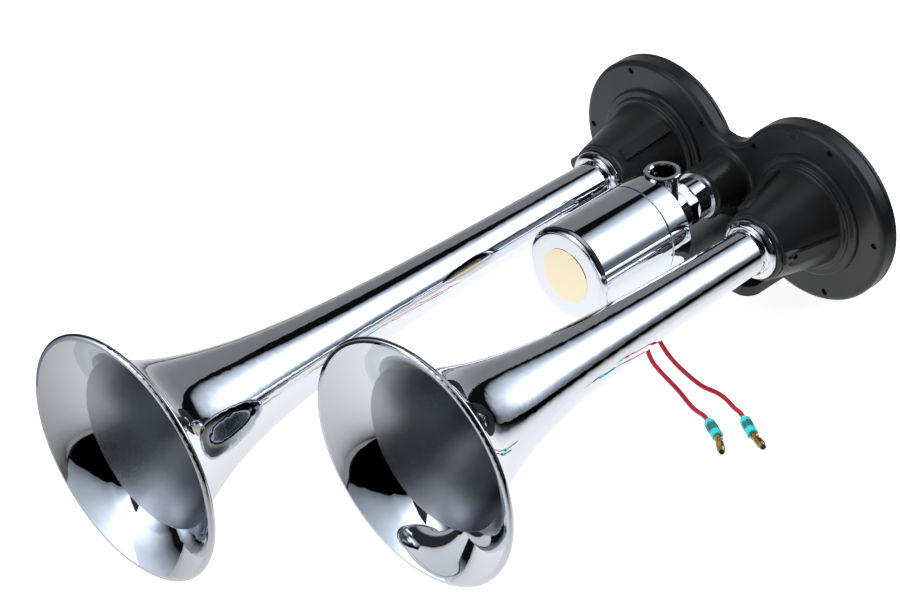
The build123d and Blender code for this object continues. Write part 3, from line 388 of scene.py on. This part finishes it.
# ---------------------------------------------------------------- materials

def hazy_chrome(shader, rough):
    """Colour and roughness of polished chrome with a faint haze."""
    haze = shader.noise(HAZE_GRAIN, 4.0)
    hazed = tuple(part * HAZE_SHADE for part in CHROME)
    return shader.mix(haze, CHROME, hazed), shader.span(haze, *NOISE_MIDDLE, *rough)


def valve_chrome(name):
    """Polished chrome."""
    shader = Shader(name)
    colour, rough = hazy_chrome(shader, VALVE_ROUGH)
    shader.set(Base_Color=colour, Metallic=1.0, Roughness=rough)
    return shader.material


def trumpet_chrome(name, axis_x, mouth_y):
    """Polished chrome outside and round the mouth, satin metal deeper in the bell, with painted
    shade on the satin wall right of the axis.
    """
    shader = Shader(name)
    colour, rough = hazy_chrome(shader, TRUMPET_ROUGH)
    x, y, z = shader.split(shader.place)
    facing = shader.facing()
    beside = shader.minus(x, axis_x)
    above = shader.minus(z, AXIS_Z)
    outward = shader.plus(shader.times(beside, facing[0]), shader.times(above, facing[2]))
    inside = shader.math("LESS_THAN", outward, 0.0)
    edge = mouth_y + POLISHED_DEPTH
    deep = shader.span(y, edge - SATIN_EDGE / 2, edge + SATIN_EDGE / 2)
    satin = shader.times(inside, deep)
    grain = shader.noise(SATIN_GRAIN, 2.0)
    # painted shade: right of the axis the satin wall darkens to SATIN_SHADED
    dull = shader.mix(shader.span(beside, *SATIN_RIGHT), shader.mix(grain, SATIN_DARK, SATIN_LIGHT),
                      SATIN_SHADED)
    dull_rough = shader.span(grain, *NOISE_MIDDLE, *SATIN_ROUGH)
    shader.set(
        Base_Color=shader.mix(satin, colour, dull), Metallic=1.0,
        Roughness=shader.blend(satin, rough, dull_rough),
    )
    return shader.material


def plain(name, colour, metallic, rough, grain=400.0, vary=0.15, bump=0.0):
    """Fine-grained material for small and hidden pieces. Its colour varies by a share."""
    shader = Shader(name)
    grains = shader.noise(grain, 4.0)
    darker = tuple(part * (1 - vary) for part in colour)
    rough_range = (rough * (1 - ROUGH_SPREAD), rough * (1 + ROUGH_SPREAD))
    shader.set(
        Base_Color=shader.mix(grains, darker, colour), Metallic=metallic,
        Roughness=shader.span(grains, *NOISE_WIDE, *rough_range),
    )
    if bump:
        shader.bump(grains, bump)
    return shader.material


def black_enamel(name):
    """Semi-gloss black enamel over a slightly rough casting, with painted light as a paler grey on
    the upward top between the sockets.
    """
    shader = Shader(name)
    clouds = shader.noise(ENAMEL_GRAIN)
    x, _, z = shader.split(shader.place)
    # painted light: the foot's upward top between the sockets is made paler grey
    foot_painted_light = shader.times(
        shader.span(shader.math("ABSOLUTE", x), *FOOT_SIDE), shader.span(z, *FOOT_TOP),
        shader.span(shader.facing()[2], *FOOT_UP),
    )
    enamel = shader.mix(clouds, ENAMEL_DARK, ENAMEL_LIGHT)
    shader.set(
        Base_Color=shader.mix(foot_painted_light, enamel, FOOT_PAINTED_LIGHT),
        Roughness=shader.span(clouds, *NOISE_MIDDLE, *ENAMEL_ROUGH),
    )
    shader.bump(shader.noise(CASTING_GRAIN), CASTING_DEPTH)
    return shader.material


def terminal_brass(name, tip):
    """Brass with a blackened flat end at one place."""
    shader = Shader(name)
    grains = shader.noise(TERMINAL_GRAIN, 4.0)
    black = shader.span(shader.distance(shader.place, tip), TIP_RADIUS, TIP_RADIUS * TIP_CORE)
    brass = shader.mix(grains, TERMINAL_DARK, TERMINAL_LIGHT)
    shader.set(
        Base_Color=shader.mix(black, brass, TIP_COLOUR), Metallic=1.0,
        Roughness=shader.span(grains, *NOISE_WIDE, *TERMINAL_ROUGH),
    )
    return shader.material


def sleeve_vinyl(name, middle):
    """Teal vinyl with the crimp showing as a dark patch round its middle."""
    shader = Shader(name)
    grains = shader.noise(TEAL_GRAIN)
    ragged = shader.times(shader.noise(CRIMP_GRAIN, 2.0), CRIMP_RAGGED)
    crimp = shader.span(shader.plus(ragged, shader.distance(shader.place, middle)), *CRIMP_RADII)
    teal = shader.mix(grains, TEAL_DARK, TEAL_LIGHT)
    shader.set(
        Base_Color=shader.mix(crimp, teal, CRIMP_COLOUR),
        Roughness=shader.span(grains, *NOISE_WIDE, *TEAL_ROUGH),
    )
    return shader.material


def assign(names, material):
    """Gives CAD nodes one material."""
    for name in names:
        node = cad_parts[name]
        node.data.materials.clear()
        node.data.materials.append(material)


def dress():
    """Materials of the carried-over CAD nodes."""
    assign(["long_trumpet"], trumpet_chrome("long trumpet chrome", LEFT_X, LONG_MOUTH_Y))
    assign(["short_trumpet"], trumpet_chrome("short trumpet chrome", RIGHT_X, SHORT_MOUTH_Y))
    assign(["solenoid_can", "valve_body", "outlet_nipple", "inlet_fitting"],
           valve_chrome("valve chrome"))
    assign(["horn_housing", "left_back_cover", "right_back_cover"], black_enamel("black enamel"))
    assign(["left_cover_screws", "right_cover_screws", "left_collar_screw", "right_collar_screw"],
           plain("dark zinc", ZINC, metallic=1.0, rough=0.4))
    assign(["left_diaphragm", "right_diaphragm"],
           plain("diaphragm steel", DIAPHRAGM_STEEL, metallic=1.0, rough=0.35))
    assign(["left_gasket", "right_gasket", "can_seal", "cable_grommet", "plunger_seal"],
           plain("seal rubber", RUBBER, metallic=0.0, rough=0.6, bump=RUBBER_DEPTH))
    assign(["nipple_washer"], plain("washer aluminium", ALUMINIUM, metallic=1.0, rough=0.3))
    assign(["valve_seat", "guide_tube"],
           plain("brass", BRASS, metallic=1.0, rough=0.22, grain=TERMINAL_GRAIN, vary=0.35))
    assign(["front_bullet"], terminal_brass("front terminal brass", FRONT_TIP))
    assign(["rear_bullet"], terminal_brass("rear terminal brass", REAR_TIP))
    assign(["fixed_core", "plunger", "plunger_spring"],
           plain("turned steel", TURNED_STEEL, metallic=1.0, rough=0.3))
    assign(["coil_bobbin"], plain("bobbin nylon", NYLON, metallic=0.0, rough=0.5))
    assign(["coil_winding"], plain("coil copper", COPPER, metallic=1.0, rough=0.35))
    assign(["solenoid_label"],
           plain("label foil", LABEL_FOIL, metallic=1.0, rough=0.24, vary=0.05))
    assign(["front_sleeve"], sleeve_vinyl("front sleeve vinyl", FRONT_CRIMP))
    assign(["rear_sleeve"], sleeve_vinyl("rear sleeve vinyl", REAR_CRIMP))


def plunger_spring():
    """Copy of the CAD spring, with a mesh of its own, in place of the CAD node."""
    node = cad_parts["plunger_spring"]
    spring = add_object("plunger_return_spring", node.data.copy())
    spring.matrix_world = node.matrix_world.copy()
    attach(spring, "horn")
    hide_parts("plunger_spring")
    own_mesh(spring)


# ---------------------------------------------------------------- ground

def pool_level(shader, x, y):
    """Bright pool round the horn, and a dim field on its left."""
    across = shader.minus(x, POOL_CENTRE[0])
    parts = (
        shader.math("DIVIDE", shader.math("MAXIMUM", across, 0.0), shader.ramp(y, POOL_RIGHT)),
        shader.math("DIVIDE", shader.math("MINIMUM", across, 0.0), POOL_LEFT),
        shader.math("DIVIDE", shader.minus(y, POOL_CENTRE[1]), POOL_ALONG),
    )
    right, left, along = (shader.times(part, part) for part in parts)
    total = shader.plus(shader.plus(right, left), along)
    bright = shader.times(shader.math("EXPONENT", shader.times(total, -1.0)), POOL_LEVEL)
    return shader.math("MAXIMUM", bright, shader.span(x, *POOL_FAR_FROM, 0.0, POOL_FAR))


def table_level(shader, x, y):
    """Even field before the bells, up to a leaning edge."""
    before = shader.math("MULTIPLY_ADD", x, -TABLE_LEAN, y)
    return shader.times(
        shader.span(x, *TABLE_ACROSS, 0.0, TABLE_LEVEL), shader.span(y, *TABLE_BACK),
        shader.span(before, *TABLE_EDGE), shader.span(x, *TABLE_RIGHT),
    )


def ground_white(name):
    """Even white for the camera. What the chrome reflects is the pool and the table."""
    shader = Shader(name)
    x, y, _ = shader.split(shader.place)
    level = shader.math("MAXIMUM", pool_level(shader, x, y), table_level(shader, x, y))
    glow = shader.node("ShaderNodeEmission", Color=POOL_TINT, Strength=level)
    shader.set(
        Base_Color=GROUND_COLOUR, Roughness=GROUND_ROUGH, Specular_IOR_Level=0.0,
        Emission_Color=GROUND_LIGHT, Emission_Strength=GROUND_GLOW,
    )
    both = shader.node("ShaderNodeMixShader", _0=shader.camera_sees(), _1=glow.outputs[0],
                       _2=shader.main.outputs[0])
    shader.surface(both.outputs[0])
    return shader.material


def make_floor():
    """Round ground in the plane that the horn rests on."""
    mesh = bpy.data.meshes.new("ground")
    ring = bmesh.new()
    bmesh.ops.create_circle(ring, cap_ends=True, segments=FLOOR_SIDES, radius=FLOOR_RADIUS)
    ring.to_mesh(mesh)
    ring.free()
    ground = add_object("ground", mesh)
    tilt = Vector((0, 0, 1)).rotation_difference(Vector(FLOOR_NORMAL))
    ground.matrix_world = Matrix.Translation(FLOOR_POINT) @ tilt.to_matrix().to_4x4()
    mesh.materials.append(ground_white("ground white"))


# ---------------------------------------------------------------- lights

def add_panel(name, panel, size, light):
    """Lit panel that the camera itself doesn't see. Its light comes from a function of place."""
    distance, azimuth, elevation = panel[0], math.radians(panel[1]), math.radians(panel[2])
    (left, right), (low, high) = size
    corners = [(left, low, 0), (right, low, 0), (right, high, 0), (left, high, 0)]
    mesh = bpy.data.meshes.new(name)
    mesh.from_pydata(corners, [], [(0, 1, 2, 3)])
    board = add_object(name, mesh)
    back = Vector((math.cos(azimuth) * math.cos(elevation),
                   math.sin(azimuth) * math.cos(elevation), math.sin(elevation)))
    across = Vector((-math.sin(azimuth), math.cos(azimuth), 0))
    turn = Matrix((across, back.cross(across), back)).transposed()
    board.matrix_world = Matrix.Translation(back * distance) @ turn.to_4x4()
    board.visible_camera = False
    board.visible_shadow = False
    shader = Shader(name)
    x, y, _ = shader.split(shader.place)
    glow = shader.node("ShaderNodeEmission", Color=light(shader, x, y), Strength=1.0)
    shader.surface(glow.outputs[0])
    mesh.materials.append(shader.material)


def tinted(shader, level, tint):
    """Colour of a light from its level."""
    red, green, blue = (shader.times(level, part) for part in tint)
    return shader.node("ShaderNodeCombineXYZ", _0=red, _1=green, _2=blue).outputs[0]


def box_light(shader, x, y):
    """Soft box that grows brighter rightwards from its edge and fades downwards."""
    aside = shader.minus(shader.times(x, -1.0), shader.ramp(y, BOX_EDGE))
    fade_place = shader.plus(shader.math("MULTIPLY_ADD", x, BOX_FADE_SLOPE, BOX_FADE_START), y)
    level = shader.times(
        shader.ramp(aside, BOX_ACROSS), shader.ramp(fade_place, BOX_FADE),
        shader.ramp(y, BOX_TOP), BOX_LEVEL,
    )
    return tinted(shader, level, BOX_TINT)


def board_light(shader, x, y):
    """Grey board with a leaning right edge and a sloping top."""
    beside = shader.minus(x, shader.plus(shader.ramp(y, BOARD_EDGE), BOARD_EDGE_FROM))
    under = shader.minus(shader.math("MULTIPLY_ADD", x, BOARD_TOP_SLOPE, BOARD_TOP), y)
    level = shader.times(
        shader.span(beside, 0.0, BOARD_SOFT), shader.span(under, 0.0, BOARD_SOFT),
        shader.ramp(y, BOARD_LEVEL),
    )
    return tinted(shader, level, BOARD_TINT)


def rear_light(shader, x, y):
    """The soft box, a dark gap, and the grey board left of the gap."""
    return shader.node(
        "ShaderNodeVectorMath", {"operation": "ADD"},
        _0=box_light(shader, x, y), _1=board_light(shader, x, y),
    ).outputs[0]


def card_light(shader, x, y):
    """Card that is dark left of a leaning edge and grows brighter to the right."""
    edge = shader.plus(shader.ramp(y, CARD_EDGE), CARD_EDGE_FROM)
    level = shader.ramp(shader.minus(edge, x), CARD_ACROSS)
    return tinted(shader, shader.times(level, CARD_LEVEL), BOX_TINT)


def flag_light(shader, x, y):
    """Card that is dark right of a leaning edge and grows brighter to the left."""
    edge = shader.plus(shader.ramp(y, FLAG_EDGE), FLAG_EDGE_FROM)
    level = shader.ramp(shader.minus(x, edge), FLAG_ACROSS)
    return tinted(shader, shader.times(level, CARD_LEVEL), BOX_TINT)


def add_fill():
    """Soft sun that lights dull surfaces and isn't reflected."""
    data = bpy.data.lights.new("fill", "SUN")
    data.energy = FILL_POWER
    data.angle = math.radians(FILL_SPREAD)
    fill = add_object("fill", data)
    fill.rotation_euler = Vector(FILL_FROM).to_track_quat("Z", "Y").to_euler()
    fill.visible_glossy = False


def make_world():
    """Dark studio, paler overhead, that shows white behind the horn."""
    world = bpy.data.worlds.new("studio")
    world.use_nodes = True
    bpy.context.scene.world = world
    sky = Graph(world.node_tree)
    upward = sky.split(sky.node("ShaderNodeTexCoord").outputs["Generated"])[2]
    around = sky.mix(sky.span(upward, *OVERHEAD_FROM), DARKNESS, OVERHEAD)
    background = sky.nodes["Background"]
    sky.put(background.inputs["Color"], sky.mix(sky.camera_sees(), around, BACKDROP))
    sky.put(background.inputs["Strength"], 1.0)


def make_look():
    """Plain colour response, so that the ground is white."""
    view = bpy.context.scene.view_settings
    view.view_transform = "Standard"
    view.look = "None"
    view.exposure = 0.0
    view.gamma = 1.0


# ---------------------------------------------------------------- the scene

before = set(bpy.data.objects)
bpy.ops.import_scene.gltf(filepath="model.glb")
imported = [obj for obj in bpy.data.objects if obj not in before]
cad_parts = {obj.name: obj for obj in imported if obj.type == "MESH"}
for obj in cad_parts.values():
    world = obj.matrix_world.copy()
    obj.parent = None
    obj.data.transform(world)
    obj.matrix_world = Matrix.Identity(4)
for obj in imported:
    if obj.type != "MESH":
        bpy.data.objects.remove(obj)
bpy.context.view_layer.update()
make_camera()
front_lead = lead("front_lead_wire", FRONT_LEAD)
rear_lead = lead("rear_lead_wire", REAR_LEAD)
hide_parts("front_lead")
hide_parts("rear_lead")
red = plain("lead vinyl", LEAD_RED, metallic=0.0, rough=0.4, grain=LEAD_GRAIN)
for wire in (front_lead, rear_lead):
    wire.data.materials.append(red)
dress()
plunger_spring()
make_floor()
add_panel("rear_panel", REAR_PANEL, REAR_SIZE, rear_light)
add_panel("card_panel", CARD, CARD_SIZE, card_light)
add_panel("flag_panel", FLAG, FLAG_SIZE, flag_light)
add_fill()
make_world()
make_look()
